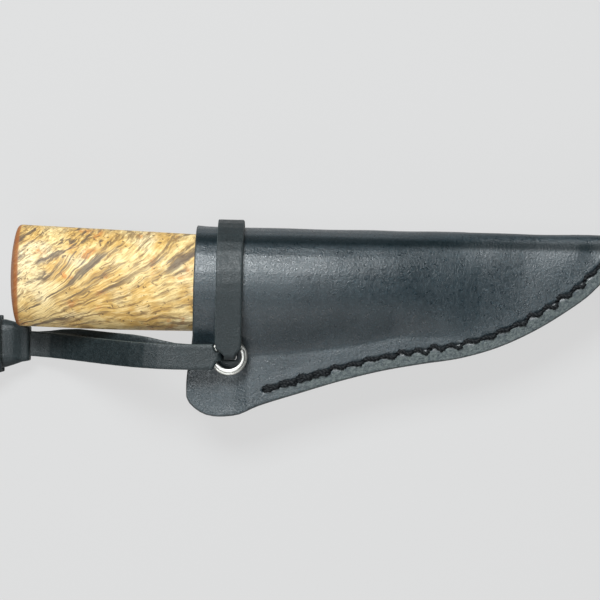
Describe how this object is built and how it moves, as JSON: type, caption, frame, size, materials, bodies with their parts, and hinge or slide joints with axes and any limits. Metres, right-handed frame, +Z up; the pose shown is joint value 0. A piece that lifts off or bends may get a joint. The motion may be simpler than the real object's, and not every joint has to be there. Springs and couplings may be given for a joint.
{
  "type": "sheathed whittling knife",
  "caption": "Fixed-blade whittling knife with a burl handle in a folded, stitched leather sheath with a split ring and a belt hanger.",
  "frame": {"origin": "middle of the flat patch at the back of the sheath, on which the object rests", "axes": "+X along the knife from the butt to the tip of the sheath, +Y to the folded spine of the sheath, +Z up from the resting surface"},
  "size_m": [0.2508, 0.0851, 0.0319],
  "materials": {
    "burl_wood": "satin, stabilised and polished spalted burl",
    "epoxy": "cured amber epoxy",
    "blade_steel": "fine satin ground",
    "ring_steel": "bright nickel, lightly scratched",
    "sheath_leather": "satin black, wet moulded and burnished",
    "strap_leather": "satin black strap leather",
    "thread": "waxed twisted black thread"
  },
  "bodies": {
    "sheath": {"sheath_shell": "sheath_leather", "welt": "sheath_leather", "seam_thread_a": "thread", "seam_thread_b": "thread", "collar_strap": "strap_leather"},
    "knife": {"handle": "burl_wood", "tang_epoxy": "epoxy", "blade": "blade_steel"},
    "ring": {"split_ring": "ring_steel"},
    "hanger": {"hanger_strap": "strap_leather", "neck_sleeve": "strap_leather", "belt_loop": "strap_leather", "hanger_thread": "thread"}
  },
  "joints": [
    {"name": "knife_draw", "type": "slide", "parent": "sheath", "child": "knife", "axis": [-1, 0, 0], "range_m": [0, 0.125]},
    {"name": "ring_turn", "type": "hinge", "parent": "sheath", "child": "ring", "pos_m": [-0.0272, -0.02106, 0.024], "axis": [0, 0, 1], "continuous": true},
    {"name": "hanger_swing", "type": "hinge", "parent": "sheath", "child": "hanger", "pos_m": [-0.0272, -0.02106, 0.024], "axis": [0, 0, 1], "range_deg": [0, 75]}
  ]
}
